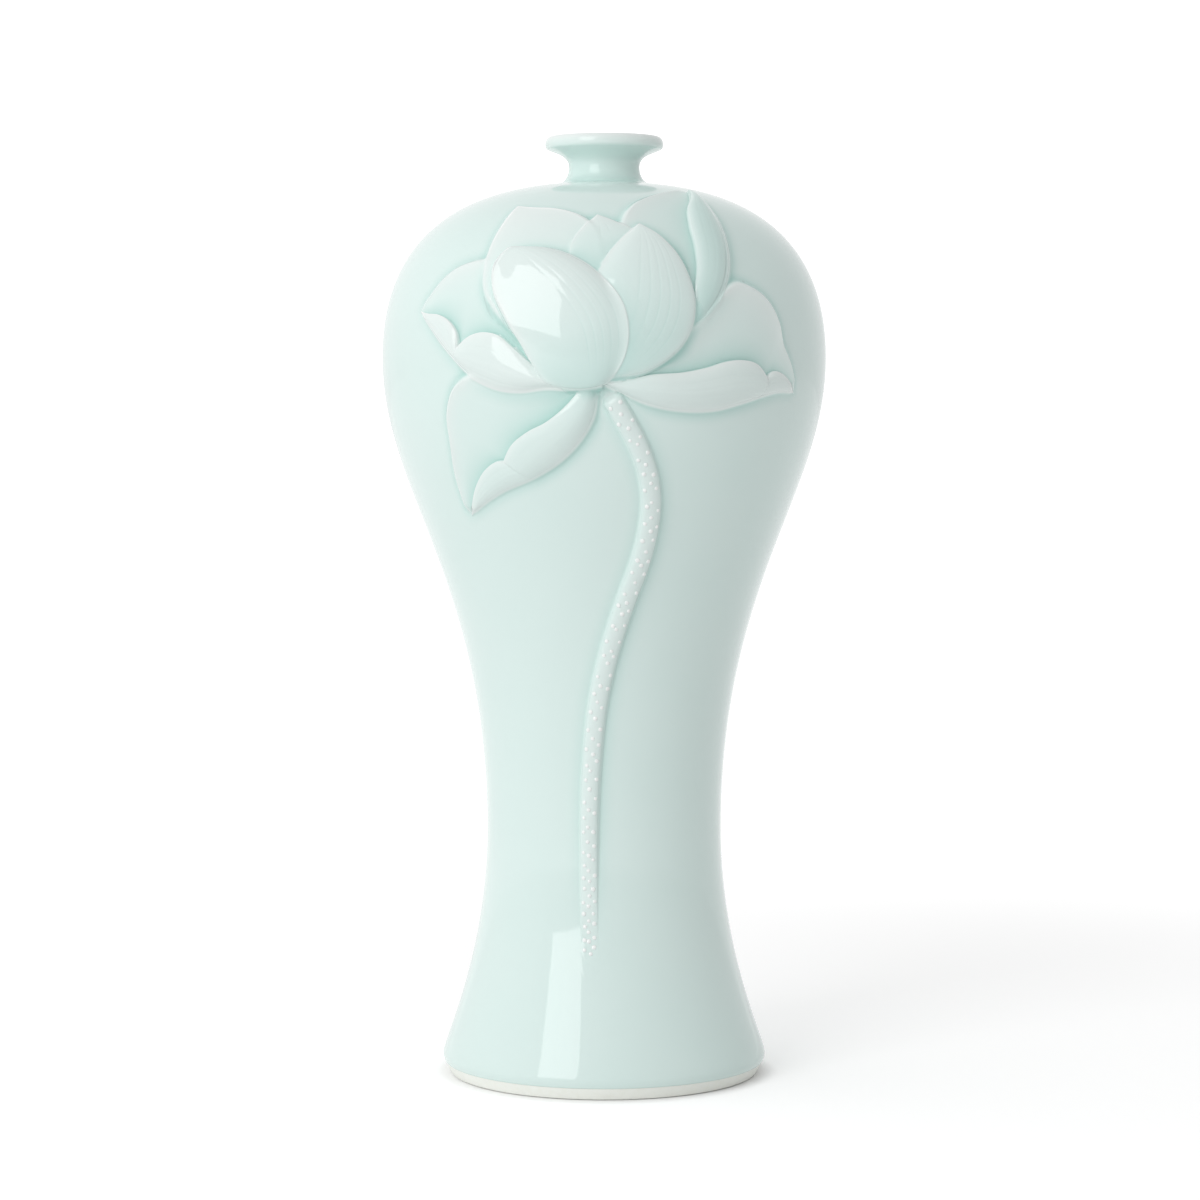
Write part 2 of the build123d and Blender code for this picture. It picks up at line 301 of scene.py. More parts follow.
class Wall:
    """The outside of the pot, measured along, so that a flat pattern can be laid on it.

    A place on the pattern is the distance round the pot from the middle of the front, and the
    distance up the wall from the belly.
    """

    step = 0.25 * MM

    def __init__(self, pot):
        spans = outer_spans(pot)
        below = sampled(spans["skirt"], 500) + sampled(spans["body"], 900)[1:]
        line = below + sampled(spans["shoulder"], 600)[1:]
        runs = [0.0]
        for start, end in zip(line, line[1:]):
            runs.append(runs[-1] + (end - start).length)
        self.belly_run = runs[len(below) - 1]
        self.stations = []
        index = 0
        for count in range(int(runs[-1] / self.step)):
            run = count * self.step
            while runs[index + 1] < run:
                index += 1
            along = line[index + 1] - line[index]
            spot = line[index] + along * ((run - runs[index]) / along.length)
            along.normalize()
            self.stations.append((spot.x, spot.z, along.z, -along.x))

    def place(self, across, up, lift):
        """The point over a place on the pattern, lifted square to the wall."""
        run = (self.belly_run + up) / self.step
        index = max(0, min(int(run), len(self.stations) - 2))
        share = run - index
        here, there = self.stations[index], self.stations[index + 1]
        radius, height, out, rise = [mix(a, b, share) for a, b in zip(here, there)]
        turn = across / radius
        reach = radius + lift * out
        return Vector((reach * sin(turn), -reach * cos(turn), height + lift * rise))


class Behind:
    """What is carved so far, on a grid over the flower: how far it stands off the wall, and its glaze."""

    cell = 0.5 * MM
    left, bottom = -96 * MM, -76 * MM
    columns, rows = 385, 335
    reach = 30 * MM
    margin = 12 * MM

    def __init__(self, wall, *pieces):
        self.levels = [[0.0] * self.columns for _ in range(self.rows)]
        self.glaze = [[0.0] * self.columns for _ in range(self.rows)]
        self.rays = []
        for row in range(self.rows):
            up = self.bottom + row * self.cell
            for column in range(self.columns):
                across = self.left + column * self.cell
                foot, top = wall.place(across, up, 0.0), wall.place(across, up, self.reach)
                self.rays.append((row, column, foot, top))
        for piece in pieces:
            self.add(piece)

    def add(self, piece):
        """Takes a finished piece into the ground."""
        corners = [vertex.co for vertex in piece.data.vertices]
        faces = [face.vertices[:] for face in piece.data.polygons]
        films = piece.data.attributes["glaze"].data
        tree = BVHTree.FromPolygons(corners, faces)
        left, right = min(corner.x for corner in corners), max(corner.x for corner in corners)
        bottom, top = min(corner.z for corner in corners), max(corner.z for corner in corners)
        across = (left - self.margin, right + self.margin)
        upward = (bottom - self.margin, top + self.margin)
        for row, column, foot, start in self.rays:
            if not (across[0] < foot.x < across[1] and upward[0] < foot.z < upward[1]):
                continue
            face, depth = tree.ray_cast(start, foot - start, self.reach)[2:]
            if depth is not None and self.reach - depth > self.levels[row][column]:
                self.levels[row][column] = self.reach - depth
                on_face = [films[corner].value for corner in faces[face]]
                self.glaze[row][column] = sum(on_face) / len(on_face)

    def at(self, spot):
        """The ground, the lowest ground close by and the glaze at a place on the pattern."""
        x = max(0.0, min((spot.x - self.left) / self.cell, self.columns - 1.001))
        y = max(0.0, min((spot.y - self.bottom) / self.cell, self.rows - 1.001))
        column, row = int(x), int(y)
        x, y = x - column, y - row
        found = []
        for grid in (self.levels, self.glaze):
            near, far = grid[row], grid[row + 1]
            found.append((near[column] * (1 - x) + near[column + 1] * x) * (1 - y)
                         + (far[column] * (1 - x) + far[column + 1] * x) * y)
        close = [self.levels[row + up][column + across] for up in (0, 1) for across in (0, 1)]
        return found[0], min(close), found[1]

    def even_reaches(self, spots, ways, furthest):
        """How far out the ground stays even, for each place along an edge, evened along the edge."""
        step, steepest, near = 0.5 * MM, 0.45 * MM, 3
        found = []
        for spot, way in zip(spots, ways):
            reach = 0.0
            here = self.at(spot)[0]
            while reach < furthest:
                there = self.at(spot + way * (reach + step))[0]
                if abs(there - here) > steepest:
                    break
                reach, here = reach + step, there
            found.append(max(reach, step))
        for blend in (min, lambda values: sum(values) / len(values)):
            found = [blend(found[max(index - near, 0):index + near + 1]) for index in range(len(found))]
        return found


def flowing(*points):
    """A flowing line through places on the pattern, which are given in millimetres."""
    knots = [Vector((x, y, 0.0)) * MM for x, y in points]
    runs = [(end - start).length for start, end in zip(knots, knots[1:])]
    slopes = [(end - start) / run for start, end, run in zip(knots, knots[1:], runs)]
    bends = [(a * run_b + b * run_a) / (run_a + run_b)
             for a, b, run_a, run_b in zip(slopes, slopes[1:], runs, runs[1:])]
    if bends:
        bends = [slopes[0] * 1.5 - bends[0] * 0.5, *bends, slopes[-1] * 1.5 - bends[-1] * 0.5]
    else:
        bends = slopes * 2
    line = [knots[0]]
    for index, run in enumerate(runs):
        start, end = knots[index], knots[index + 1]
        after_start, before_end = start + bends[index] * run / 3, end - bends[index + 1] * run / 3
        line += sampled([start, after_start, before_end, end], 25)[1:]
    return line


def line_length(line):
    """Length of a line of points."""
    return sum((end - start).length for start, end in zip(line, line[1:]))


def spaced(line, shares):
    """The points at rising shares of a line's length."""
    total = line_length(line)
    points = []
    index, before = 0, 0.0
    run = (line[1] - line[0]).length
    for share in shares:
        while before + run < share * total and index < len(line) - 2:
            before += run
            index += 1
            run = (line[index + 1] - line[index]).length
        points.append(line[index].lerp(line[index + 1], min(1.0, (share * total - before) / run)))
    return points


def mix(start, end, share):
    """The value at a share of the way from one to another."""
    return start + (end - start) * share


def smooth_step(low, high, value):
    """Rises from 0 at low to 1 at high with level ends."""
    share = max(0.0, min(1.0, (value - low) / (high - low)))
    return share * share * (3 - 2 * share)


def smooth_max(a, b, soft):
    """The larger of two heights, with a fillet between them."""
    near = max(soft - abs(a - b), 0.0) / soft
    return max(a, b) + near * near * soft / 4


def near_ends(root_share, tip_share, run):
    """1 at both ends of a form, falling to 0 over a share of its length from each."""
    return smooth_step(1 - tip_share, 1.0, run) + 1 - smooth_step(0.0, root_share, run)


def aside(line, index):
    """The way square to a line at one of its points, to the right of its run."""
    onward = (line[min(index + 1, len(line) - 1)] - line[max(index - 1, 0)]).normalized()
    return Vector((onward.y, -onward.x, 0.0))


def outward(side, other, along):
    """The way out of a form along one of its sides, turned to point past its root and its tip."""
    middle = (len(side) - 1) // 2
    centre = side[middle].lerp(other[middle], 0.5)
    tip_way = (side[-1] - centre).normalized()
    root_way = (side[0] - centre).normalized()
    ways = [aside(side, index) for index in range(len(side))]
    if ways[middle].dot(side[middle] - other[middle]) < 0:
        ways = [-way for way in ways]
    turned = []
    for way, run in zip(ways, along):
        to_tip = smooth_step(0.94, 1.0, run)
        to_root = 1 - smooth_step(0.0, 0.06, run)
        turned.append(way.lerp(tip_way, to_tip).lerp(root_way, to_root).normalized())
    return turned


FLANK_REACHES = [reach * MM for reach in (0.12, 0.3, 0.5, 0.75, 1.05, 1.4, 1.8, 2.3, 2.9, 3.7, 4.7, 5.8,
                                          7.2, 9.0)]


def raised_shell(wall, behind, along, lines, face_rows, height, glaze, ease):
    """A raised form as a closed shell: its face, its flanks down to what lies behind, and its back.

    lines are the lines of the pattern that the face is stretched between, from side to side.
    face_rows says where each row of the face lies: after which line, and at what share of the way to
    the next. height and glaze give the lift of a row and the thickness of its glaze at each column.
    ease says how gently the flank of each side falls. The foot of each flank is painted greener, as
    pooled glaze and as painted shade that is stronger on the lower right.
    """
    thin_cover, cover, root_depth, buried = 0.05 * MM, 0.5 * MM, 2.0 * MM, 0.15 * MM
    slope, curl, sink_slope = 0.9, 0.8, 0.8
    least_fillet, most_fillet = 0.05 * MM, 1.4 * MM
    edge_film, film_sink = 0.06, 0.16
    # Pooled glaze at each flank's foot, with painted shade added on the lower right, the side away from the
    # light.
    pool_and_shade_run, full_stand = 3.0 * MM, 2.4 * MM
    shaded_side, all_round_pool, side_shade = Vector((0.8, -0.6, 0.0)), 0.75, 0.45
    face = []
    for span, share in face_rows:
        row = []
        for column, run in enumerate(along):
            start, end = lines[span][column], lines[span + 1][column]
            spot = start.lerp(end, share)
            width = (end - start).length
            level = behind.at(spot)[0]
            over = mix(thin_cover, cover, smooth_step(0.0, cover, level))
            lift = smooth_max(height(run, span, share, width), level + over, 2 * over)
            row.append((spot, lift, glaze(run, span, share, width)))
        face.append(row)

    def flank(edge, ways, side_ease):
        """Rows that fall from an edge of the face, ever more steeply, and run out on what lies behind."""
        limits = behind.even_reaches([spot for spot, _, _ in edge], ways, FLANK_REACHES[-1])
        rows = []
        for reach in FLANK_REACHES:
            row = []
            for (spot, lift, thin), way, run, limit in zip(edge, ways, along, limits):
                foot = spot + way * reach
                level, lowest, ground = behind.at(foot)
                out = min(1.0, reach / limit)
                stand = max(lift - level, 0.0)
                gentle = mix(side_ease, sum(ease) / 2, near_ends(0.1, 0.1, run))
                drop = lift - (slope * reach + curl * reach * reach / MM) / gentle
                run_out = (sqrt(slope * slope + 4 * curl * stand / MM * gentle) - slope) / (2 * curl)
                fall = run_out * MM + 0.2 * MM
                soft = max(least_fillet, min(most_fillet * gentle, 1.1 * stand))
                film = (edge_film - film_sink * out ** 3) * MM
                # Painted shade: the pooling is made stronger where the flank faces the lower right.
                pool_and_shade_weight = all_round_pool + side_shade * max(0.0, way.dot(shaded_side))
                pool_and_shade = pool_and_shade_weight * min(1.0, stand / full_stand) * exp(-max(reach - fall, 0.0) / pool_and_shade_run)
                pool_and_shade_tone = ground + pool_and_shade * (1 - smooth_step(0.3, 0.8, out))
                tone = mix(thin, pool_and_shade_tone, smooth_step(0.1 * fall, fall, reach))
                if reach < limit:
                    rest = smooth_max(drop, level + film, soft)
                else:
                    rest = lowest - buried - sink_slope * (reach - limit)
                row.append((foot, rest, tone))
            rows.append(row)
        return rows

    flank_a = flank(face[0], outward(lines[0], lines[-1], along), ease[0])
    flank_b = flank(face[-1], outward(lines[-1], lines[0], along), ease[1])
    rows = flank_a[::-1] + face + flank_b
    for share in (1.0, 0.5, 0.0):
        rows.append([(a[0].lerp(b[0], share), -root_depth, 0.0) for a, b in zip(flank_a[-1], flank_b[-1])])

    bm = bmesh.new()
    columns = len(along) - 1
    bmesh.ops.create_grid(bm, x_segments=columns, y_segments=len(rows), size=1.0)
    thickness = bm.verts.layers.float.new("glaze")
    for vertex in bm.verts:
        column = round((vertex.co.x + 1) / 2 * columns)
        row = round((vertex.co.y + 1) / 2 * len(rows)) % len(rows)
        spot, lift, film = rows[row][column]
        vertex.co = wall.place(spot.x, spot.y, lift)
        vertex[thickness] = film
    return closed(bm)


def column_shares(count, notch=None):
    """Shares along a form, closer together at its ends, with a close pair at the notch of its lip."""
    pair = 0.004
    shares = []
    for index in range(count + 1):
        even = index / count
        shares.append(0.4 * even + 0.6 * (1 - cos(pi * even)) / 2)
    if notch:
        shares = [share for share in shares if abs(share - notch) > 1.5 * pair]
        shares += [notch - pair, notch + pair]
    return sorted(shares)


def row_shares(count, veins=(), half_vein=0.011):
    """Shares across a face, closer together at its sides, with three rows to each cut vein."""
    shares = [(1 - cos(pi * index / count)) / 2 for index in range(count + 1)]
    shares = [share for share in shares if all(abs(share - vein) > 1.5 * half_vein for vein in veins)]
    for vein in veins:
        shares += [vein - half_vein, vein, vein + half_vein]
    return sorted(shares)


# Petals, as places on the pattern and heights in millimetres

CUPPED_PETALS = {
    "back_left_petal": dict(
        root=(-17, -6), tip=(-34.4, 64),
        left=[(-23, -1.0), (-33, 8.5), (-41.5, 17), (-46.2, 24.5), (-46.8, 32), (-44.5, 42.5),
              (-39.5, 54.5)],
        right=[(-1.5, 18), (-0.5, 36), (-4.5, 50.5), (-11, 57.5), (-19, 61), (-27, 62)],
        edges=((4.0, 2.0), (2.6, 2.6)), tip_edge=2.2, fullness=0.7, ease=(3.0, 2.8),
        tones=(-0.2, -0.8, 0.5, 0.95),
    ),
    "middle_petal": dict(
        root=(-1.5, 9), tip=(-2.7, 57.6),
        left=[(-11, 24), (-13, 37), (-11.6, 43.5), (-7.5, 50.5)],
        right=[(13.5, 24.5), (15.5, 41), (11, 48.8), (4, 53.8)],
        edges=((2.2, 2.2), (2.2, 2.2)), tip_edge=2.2, fullness=0.8, ease=(1.3, 1.3),
        tones=(0.25, -0.6, 0.5, 1.0), veins=(0.42, 0.58),
    ),
    "right_cup_petal": dict(
        root=(0, -9.5), tip=(12.8, 51.4),
        left=[(-5.5, 5), (-4.5, 20), (0, 34.5), (6.5, 44)],
        right=[(7, -8.2), (14, -6.8), (22.5, -2.3), (29.6, 4.8), (32.9, 12.5), (33.4, 19.5), (31, 29),
               (27, 37), (20.5, 44.8)],
        edges=((2.5, 2.5), (4.4, 4.4)), tip_edge=3.4, tip_round=3, fullness=0.55, ease=(1.2, 1.3),
        tones=(0.4, -0.45, 0.2, 0.95), veins=(0.42, 0.53, 0.63, 0.73, 0.83),
    ),
    "front_petal": dict(
        root=(-7.5, -12.7), tip=(-34.5, 37.2),
        left=[(-15, -12.2), (-21.4, -9.6), (-25, -5), (-28, 1.5), (-35.2, 13.5), (-39.4, 23),
              (-39.4, 30.5)],
        right=[(0.2, -10.8), (5.2, -5), (8.3, 5.5), (6.6, 17), (0, 26.8), (-10, 35), (-23.5, 39.6)],
        edges=((6.0, 9.6), (4.4, 4.4)), tip_edge=9.0, tip_round=12, fullness=0.75, ease=(1.5, 1.2),
        tones=(0.4, -0.5, 0.1, 0.75), veins=(0.58, 0.66, 0.74, 0.82, 0.9),
    ),
}
OPEN_PETALS = {
    "lower_petal": dict(
        root=(-4, -7), tip=(-56.2, -63.6),
        blade=[(-20, -9), (-40, -8), (-54, -9), (-61.5, -14), (-64.6, -22), (-63.6, -34), (-62.2, -46)],
        fold=[(-10.5, -15), (-13.5, -18.5), (-22.5, -26), (-29, -29.3), (-34.5, -33.5)],
        notch=(-38.8, -41), tip_fold=[(-42.3, -41.3), (-47, -44.3), (-51.3, -50)],
        lip=[(-3.4, -13.5), (-4, -22.5), (-9, -32.5), (-17, -41.2), (-27, -47.8), (-41, -54)],
        rim=2.6, rim_run=8.0, pale_run=3.0, lip_tone=-0.1, inner_edge=0.8,
    ),
    "right_petal": dict(
        root=(-5, -9), tip=(85.8, -14.4),
        blade=[(21.5, 3), (36.4, 11.7), (44.5, 20), (52.6, 26.4), (61.2, 24.4), (69.2, 19.4), (74.4, 12),
               (76.8, 3.5), (81.8, -4)],
        fold=[(5.2, -10.2), (17.5, -7.8), (29.4, -7), (40, -5), (47.5, -2.9), (54.5, -2.2), (62, -3.8)],
        notch=(67.3, -8.6), tip_fold=[(70.8, -6.3), (76.3, -7), (81.8, -10)],
        lip=[(2.2, -12.6), (10.5, -16.5), (19.5, -19.6), (30, -21.2), (43, -21), (55, -18.4), (66, -15.7),
             (76, -13.9)],
        rim=2.3, rim_run=9.0, pale_run=9.0, lip_tone=-0.35,
    ),
    "left_petal": dict(
        root=(-5.5, -12), tip=(-82, 17),
        blade=[(-20, 20), (-33, 33), (-45.5, 36.3), (-54, 35.4), (-62, 32.8), (-70, 27.6), (-76, 22)],
        fold=[(-21.6, -7.8), (-29, -2.3), (-35, 2.7), (-40.5, 6.8), (-46, 8), (-52.5, 6.8)],
        notch=(-58.8, 2.8), tip_fold=[(-60, 8.5), (-64, 12.8), (-69.5, 15.2), (-76, 15.9)],
        lip=[(-11.5, -13.2), (-21.6, -13), (-32, -14.2), (-41.5, -13.2), (-51, -9.4), (-60, -2.9),
             (-68, 4), (-75, 10.6)],
        rim=1.6, rim_run=9.0, rim_groove=0.1, lip_tone=-0.5, inner_round=1.35,
    ),
    "back_right_petal": dict(
        root=(31.8, 9.5), tip=(34.4, 81),
        blade=[(13.5, 24.5), (7, 41), (7.4, 53), (12.8, 66.5), (20.5, 73.8)],
        fold=[(33.8, 18.6), (34.4, 25), (35.5, 33), (35.2, 41), (33.2, 53), (33, 63), (34.6, 70)],
        lip=[(41.2, 16), (46, 22), (49.3, 30), (50.2, 38), (49, 48), (46.4, 57.5), (42.4, 68)],
        rim=1.8, rim_run=8.0, rim_groove=0.3, lip_tone=0.35, fold_pool_and_shade=0.6, ease=(3.4, 2.4),
    ),
}
PETAL_ORDER = ("lower_petal", "right_petal", "left_petal", "back_right_petal", "back_left_petal",
               "middle_petal", "right_cup_petal", "front_petal")


def vein_cut(veins, share, run):
    """How strongly a row is cut along its length, if it is a vein."""
    if share not in veins:
        return 0.0
    return smooth_step(0.1, 0.4, run) * (1 - 0.8 * smooth_step(0.8, 1.0, run))


def cupped_petal(wall, behind, lotus, crown, root, tip, left, right, edges, tip_edge, fullness, ease,
                 tones, tip_round=4, veins=()):
    """A petal that closes round the heart of the flower, seen from its outside.

    edges are the heights of the left and the right edge, low and high on the petal. tones are how green the
    petal is painted low and high on it, and where along it the one starts and stops turning into the other.
    """
    along = column_shares(120)
    lines = [spaced(flowing(root, *side, tip), along) for side in (left, right)]
    root_edge = (edges[0][0] + edges[1][0]) / 2
    low_tone, tip_tone, start, stop = tones
    rim_run = 1.5 * MM
    rows = [(0, share) for share in row_shares(40, veins)]

    def height(run, span, share, width):
        rise = smooth_step(0.1, 0.8, run)
        edge = mix(*[mix(low, high, rise) for low, high in edges], share)
        edge = mix(edge, root_edge, 1 - smooth_step(0.0, 0.15, run))
        edge = mix(edge, tip_edge, smooth_step(0.88, 1.0, run)) * MM
        round_across = (1 - abs(2 * share - 1) ** 2.6) ** fullness
        round_along = ((1 - (1 - run) ** 3) * (1 - run ** tip_round)) ** 0.6
        vein = lotus.vein_depth * vein_cut(veins, share, run)
        return edge + (crown - edge) * round_across * round_along - vein

    def glaze(run, span, share, width):
        rim = exp(-min(share, 1 - share) * width / rim_run)
        vein = 0.15 * vein_cut(veins, share, run)
        return mix(low_tone, tip_tone, smooth_step(start, stop, run)) - 0.5 * rim + vein

    return raised_shell(wall, behind, along, lines, rows, height, glaze, ease)


def open_petal(wall, behind, lotus, lip_height, root, tip, blade, fold, lip, rim, rim_run, lip_tone,
               notch=None, tip_fold=(), rim_groove=0.0, pale_run=5.0, fold_pool_and_shade=0.9, inner_edge=0.6,
               inner_round=2.4, ease=(2.2, 2.0)):
    """A petal that has fallen open: a blade with a raised edge, and a lip folded over its other side.

    The lip of most is notched, with a smaller lobe past the notch.
    """
    crest, outer_edge, tip_lobe = 0.42, 0.22, 0.62
    end_height, root_fill = 0.8 * MM, 1.8 * MM
    fold_shade_run, lip_rim_run = 5.0 * MM, 1.5 * MM
    veins = (0.3, 0.5, 0.68, 0.84)
    notch_run = None
    if notch:
        main_fold = flowing(root, *fold, notch)
        end_fold = flowing(notch, *tip_fold, tip)
        notch_run = line_length(main_fold) / (line_length(main_fold) + line_length(end_fold))
        fold_line = main_fold + end_fold[1:]
    else:
        fold_line = flowing(root, *fold, tip)
    along = column_shares(130, notch_run)
    sides = (flowing(root, *blade, tip), fold_line, flowing(root, *lip, tip))
    lines = [spaced(side, along) for side in sides]
    rows = [(0, share) for share in row_shares(22)] + [(1, share) for share in row_shares(20, veins, 0.02)]

    def lobe(run):
        """How full the lip is along its length."""
        if notch_run is None:
            return 0.35 + 0.65 * max(0.0, 1 - abs(2 * run - 1) ** 2.5) ** 0.6
        if run < notch_run:
            share = run / notch_run
            return (0.55 + 0.45 * smooth_step(0.0, 0.4, share)) * (1 - 0.25 * share ** 8)
        share = (run - notch_run) / (1 - notch_run)
        return tip_lobe * (1 - 0.7 * share ** 2)

    def height(run, span, share, width):
        if span == 0:
            edge = exp(-share * width / (rim_run * MM))
            fill = root_fill * (1 - smooth_step(0.05, 0.45, run))
            lift = mix(lotus.blade_bed, rim * MM, edge) + fill
        else:
            if share < crest:
                full = mix(inner_edge, 1, (1 - (1 - share / crest) ** inner_round) ** 0.8)
            else:
                full = mix(outer_edge, 1, (1 - ((share - crest) / (1 - crest)) ** 2.2) ** 0.9)
            vein = lotus.vein_depth * vein_cut(veins, share, run)
            if share == veins[-1]:
                vein += rim_groove * MM * (1 - smooth_step(0.35, 0.7, run))
            lift = lotus.blade_bed + lip_height * lobe(run) * full - vein
        return mix(lift, end_height, near_ends(0.03, 0.05, run))

    def glaze(run, span, share, width):
        if span == 0:
            # Greener under the fold: pooled glaze, and painted shade where the lip overhangs the blade.
            under_fold_pool_and_shade = exp(-(1 - share) * width / fold_shade_run)
            edge = exp(-share * width / (pale_run * MM))
            return fold_pool_and_shade * under_fold_pool_and_shade - 0.8 * edge + 0.2 * (1 - smooth_step(0.1, 0.5, run))
        rims = 0.7 * exp(-share * width / lip_rim_run) + 0.4 * exp(-(1 - share) * width / lip_rim_run)
        return lip_tone - rims + 0.3 * (1 - smooth_step(0.05, 0.35, run))

    return raised_shell(wall, behind, along, lines, rows, height, glaze, ease)


# Stem

STEM_LINE = [(1.2, -14.6), (6, -22.5), (12, -33.5), (16.3, -45), (18, -58), (16.8, -71), (13.5, -84.5),
             (9, -97.5), (5, -110), (1.5, -122.5), (-1.5, -136), (-5, -168), (-6, -208), (-5.6, -245)]


def stem_width(lotus, run):
    """Half the stem's width at a share of its length."""
    return mix(lotus.stem_half_width, lotus.stem_foot_half_width, run)


def flower_stem(wall, behind, lotus):
    """The stem, round under the flower and fading into the wall at its lower end."""
    root_taper, tip_taper = 0.015, 0.02
    fade_run, faded, edge_height = 0.26, 0.02, 0.35
    crown_film = -0.4
    along = column_shares(300)
    middle = spaced(flowing(*STEM_LINE), along)
    sides = [[], []]
    for index, (spot, run) in enumerate(zip(middle, along)):
        taper = min(1.0, (1 - run) / tip_taper) ** 0.5 * min(1.0, run / root_taper) ** 0.5
        edge = aside(middle, index) * stem_width(lotus, run) * taper
        sides[0].append(spot - edge)
        sides[1].append(spot + edge)

    def height(run, span, share, width):
        fade = mix(faded, 1, smooth_step(0.0, fade_run, 1 - run))
        crown = lotus.stem_height * smooth_step(0.0, 0.02, run) * fade
        return crown * mix(edge_height, 1, max(0.0, 1 - abs(2 * share - 1) ** 2.1) ** 0.55)

    def glaze(run, span, share, width):
        return crown_film * (1 - abs(2 * share - 1) ** 2) * smooth_step(0.01, 0.1, 1 - run)

    rows = [(0, share) for share in row_shares(16)]
    return raised_shell(wall, behind, along, sides, rows, height, glaze, (0.75, 0.9))


def stem_prickles(wall, stem, lotus):
    """Blunt points, scattered about three lines along the stem and closer together near its lower end."""
    start, stop, above = 5.5 * MM, 4 * MM, 20 * MM
    # The prickles' film paints them nearly white: thin glaze on the points, and a painted glint.
    squash, film = 0.36, -1.3
    draw = Random(11)
    corners = [vertex.co for vertex in stem.data.vertices]
    tree = BVHTree.FromPolygons(corners, [face.vertices for face in stem.data.polygons])
    line = flowing(*STEM_LINE)
    total = line_length(line)
    bm = bmesh.new()
    ring = start
    while ring < total - stop:
        spacing = lotus.prickle_spacing * (1 - 0.35 * smooth_step(0.7, 0.9, ring / total))
        ring += spacing
        for share, ahead_of_ring in ((-0.6, 0.0), (0.0, 0.55), (0.6, 0.15)):
            run = ring + (ahead_of_ring + draw.uniform(-0.2, 0.2) - 1) * spacing
            share += draw.uniform(-0.12, 0.12)
            near = spaced(line, [run / total, min(1.0, (run + MM) / total)])
            spot = near[0] + aside(near, 0) * stem_width(lotus, run / total) * share
            top = wall.place(spot.x, spot.y, above)
            seat, normal = tree.ray_cast(top, wall.place(spot.x, spot.y, 0.0) - top)[:2]
            if seat is None:
                raise RuntimeError("a prickle has missed the stem")
            radius = lotus.prickle_radius * draw.uniform(0.85, 1.15)
            turn = normal.to_track_quat("Z", "Y").to_matrix().to_4x4()
            size = Matrix.Diagonal((radius, radius, squash * radius, 1.0))
            bmesh.ops.create_icosphere(bm, subdivisions=2, radius=1.0,
                                       matrix=Matrix.Translation(seat) @ turn @ size)
    thickness = bm.verts.layers.float.new("glaze")
    for vertex in bm.verts:
        vertex[thickness] = film
    return bm


# Materials


def add_node(tree, kind, inputs, **settings):
    """Adds a shader node with its settings.

    inputs are values, sockets to link from, or nodes whose first output is linked.
    """
    node = tree.nodes.new(f"ShaderNode{kind}")
    for name, value in settings.items():
        setattr(node, name, value)
    for name, value in inputs.items():
        if isinstance(value, Node):
            value = value.outputs[0]
        if isinstance(value, NodeSocket):
            tree.links.new(value, node.inputs[name])
        else:
            node.inputs[name].default_value = value
    return node


def new_material(name):
    """An empty node material and its tree."""
    material = bpy.data.materials.new(name)
    material.use_nodes = True
    material.node_tree.nodes.clear()
    return material, material.node_tree


def celadon_glaze(colours):
    """Celadon glaze on white porcelain: a glassy, slightly milky skin, poured and fired to a high gloss.

    It runs thin and whiter over edges and points, and pools greener in the hollows beside the carving.
    The pooled colour also paints shade beside the carving and round the neck's foot, and the whitest
    colour also paints a glint on the stem's prickles.
    """
    name = "celadon_glaze_gloss"
    if name in bpy.data.materials:
        return bpy.data.materials[name]
    cloud_size, ripple_size, ripple_depth = 38 * MM, 9 * MM, 0.06 * MM
    film_share, least_depth, most_depth = 0.4, 0.528, 0.592
    thin, usual, pooled_and_shaded = 0.16, 0.56, 0.96
    material, tree = new_material(name)
    spot = add_node(tree, "TexCoord", {}).outputs["Object"]
    film = add_node(tree, "Attribute", {}, attribute_name="glaze").outputs["Fac"]
    cloud = add_node(tree, "TexNoise", {"Vector": spot, "Scale": 1 / cloud_size, "Detail": 2.0})
    drift = add_node(tree, "MapRange", {"Value": cloud, "To Min": least_depth, "To Max": most_depth})
    depth = add_node(tree, "Math", {0: film, 1: film_share, 2: drift}, operation="MULTIPLY_ADD")
    shade = add_node(tree, "ValToRGB", {"Fac": depth})
    ramp = shade.color_ramp
    ramp.elements[0].color = [*colours.point_glaze_and_glint, 1.0]
    ramp.elements[1].color = [*colours.pooled_glaze_and_shade, 1.0]
    ramp.elements[1].position = pooled_and_shaded
    ramp.elements.new(thin).color = [*colours.thin_glaze, 1.0]
    ramp.elements.new(usual).color = [*colours.glaze, 1.0]
    ripple = add_node(tree, "TexNoise", {"Vector": spot, "Scale": 1 / ripple_size, "Detail": 1.0})
    uneven = add_node(tree, "Bump", {"Height": ripple, "Strength": 0.25, "Distance": ripple_depth})
    gloss = add_node(tree, "MapRange", {"Value": cloud, "To Min": 0.03, "To Max": 0.06})
    skin = add_node(tree, "BsdfPrincipled",
                    {"Base Color": shade, "Roughness": gloss, "IOR": 1.5, "Normal": uneven})
    add_node(tree, "OutputMaterial", {"Surface": skin})
    return material


